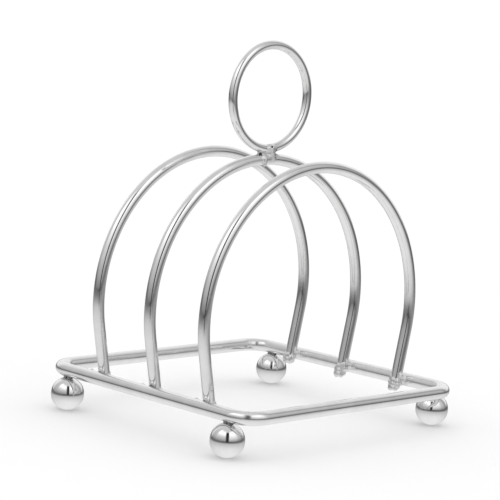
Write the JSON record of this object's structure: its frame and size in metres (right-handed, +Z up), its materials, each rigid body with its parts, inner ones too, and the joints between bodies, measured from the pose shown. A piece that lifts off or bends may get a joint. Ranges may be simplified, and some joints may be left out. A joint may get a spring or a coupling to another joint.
{
  "type": "toast rack",
  "caption": "Chromed wire toast rack: horseshoe arches welded in a row on a rounded rectangular frame with ball feet, and a ring handle on top.",
  "frame": {"origin": "centre of the footprint, on the table plane that the ball feet stand on", "axes": "+Z up; X across the rack, in the plane of each arch; Y along the row of arches, so toast stands between arches in planes parallel to XZ; -Y is the front"},
  "size_m": [0.116, 0.1068, 0.1373],
  "materials": {
    "wire": "bright plated steel wire, mirror polished, faint draw lines along the wire",
    "ball": "bright plated steel ball, mirror polished",
    "weld": "plated weld metal, uneven, less bright than the wire"
  },
  "bodies": {
    "root": {"base_frame_wire": "wire", "frame_seam_weld": "weld", "rear_arch": "wire", "middle_arch": "wire", "front_arch": "wire", "handle_ring": "wire", "foot_ball_rear_left": "ball", "foot_ball_rear_right": "ball", "foot_ball_front_left": "ball", "foot_ball_front_right": "ball", "weld_rear_arch_left": "weld", "weld_rear_arch_right": "weld", "weld_middle_arch_left": "weld", "weld_middle_arch_right": "weld", "weld_front_arch_left": "weld", "weld_front_arch_right": "weld", "weld_foot_rear_left": "weld", "weld_foot_rear_right": "weld", "weld_foot_front_left": "weld", "weld_foot_front_right": "weld", "weld_handle": "weld"}
  },
  "joints": []
}
